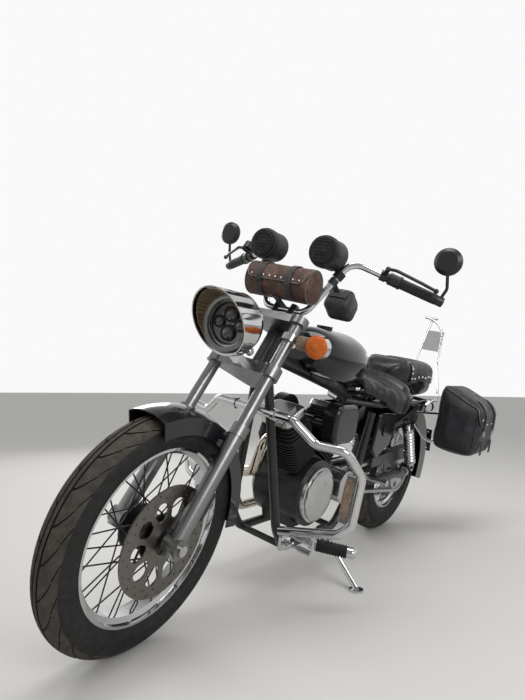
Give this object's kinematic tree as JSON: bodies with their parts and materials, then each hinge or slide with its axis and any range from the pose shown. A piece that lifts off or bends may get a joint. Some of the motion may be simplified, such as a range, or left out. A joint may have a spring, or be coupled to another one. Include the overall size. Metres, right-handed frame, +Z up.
{
  "type": "cruiser motorcycle",
  "caption": "Small V-twin cruiser motorcycle with wire wheels, saddlebags, engine guard, round headlamp and backrest, parked on its side stand.",
  "frame": {"origin": "centre of the bike's box on the ground, as it stands leaning on its side stand", "axes": "+X forward, +Y to the rider's left, +Z up"},
  "size_m": [2.2167, 0.9744, 1.303],
  "materials": {
    "black_paint": "gloss",
    "black_metal": "satin",
    "chrome": "polished",
    "fork_silver": "satin",
    "cast_alloy": "polished",
    "fin_black": "satin",
    "steel": "satin",
    "tyre": "matt",
    "rubber": "matt",
    "brown_leather": "worn",
    "black_leather": "satin",
    "black_plastic": "satin",
    "lamp_glass": "clear",
    "amber": "clear",
    "red": "clear"
  },
  "bodies": {
    "chassis": {"bag_rails": "chrome", "chain": "steel", "chain_guard": "chrome", "cylinders": "fin_black", "engine_cases": "fin_black", "engine_covers": "cast_alloy", "engine_guard": "chrome", "exhaust_pipes": "chrome", "foot_controls": "chrome", "frame": "black_paint", "fuel_tank": "black_paint", "intake": "black_metal", "left_saddlebag": "black_leather", "pillion_seat": "black_leather", "pivot_and_axle": "steel", "rear_fender": "black_paint", "rear_indicators": "amber", "rear_shocks": "chrome", "rider_seat": "black_leather", "right_saddlebag": "black_leather", "rocker_covers": "cast_alloy", "side_covers": "black_paint", "silencers": "chrome", "sissy_bar": "chrome", "swingarm": "black_metal", "tail_lamp": "red"},
    "steering": {"fork_clamps": "fork_silver", "fork_legs": "fork_silver", "front_axle": "steel", "front_fender": "black_paint", "headlamp_hood": "chrome", "headlamp_glass": "lamp_glass", "handlebar": "chrome", "grips": "rubber", "hand_controls": "black_metal", "mirrors": "black_metal", "speaker_pods": "black_plastic", "tool_roll": "brown_leather", "bar_pouch": "black_leather", "front_indicators": "amber", "brake_caliper": "black_metal"},
    "front_wheel": {"front_tyre": "tyre", "front_rim": "chrome", "front_hub": "fork_silver", "brake_disc": "steel"},
    "rear_wheel": {"rear_tyre": "tyre", "rear_rim": "chrome", "rear_hub": "fork_silver", "rear_sprocket": "steel"},
    "side_stand": {"side_stand": "chrome"}
  },
  "joints": [
    {"name": "steering", "type": "hinge", "parent": "chassis", "child": "steering", "pos_m": [0.47105, -0.05515, 0.69182], "axis": [-0.5299, 0.1763, 0.8295], "range_deg": [-38.5, 29.5]},
    {"name": "front_wheel_spin", "type": "hinge", "parent": "steering", "child": "front_wheel", "pos_m": [0.79393, -0.1317, 0.30677], "axis": [-0.0665, 0.9665, -0.2479], "continuous": true},
    {"name": "rear_wheel_spin", "type": "hinge", "parent": "chassis", "child": "rear_wheel", "pos_m": [-0.7159, -0.13807, 0.30169], "axis": [0, 0.9781, -0.2079], "continuous": true},
    {"name": "side_stand_fold", "type": "hinge", "parent": "chassis", "child": "side_stand", "pos_m": [0.0191, -0.04177, 0.13911], "axis": [0.018, 0.6748, 0.7378], "range_deg": [0, 100]}
  ]
}
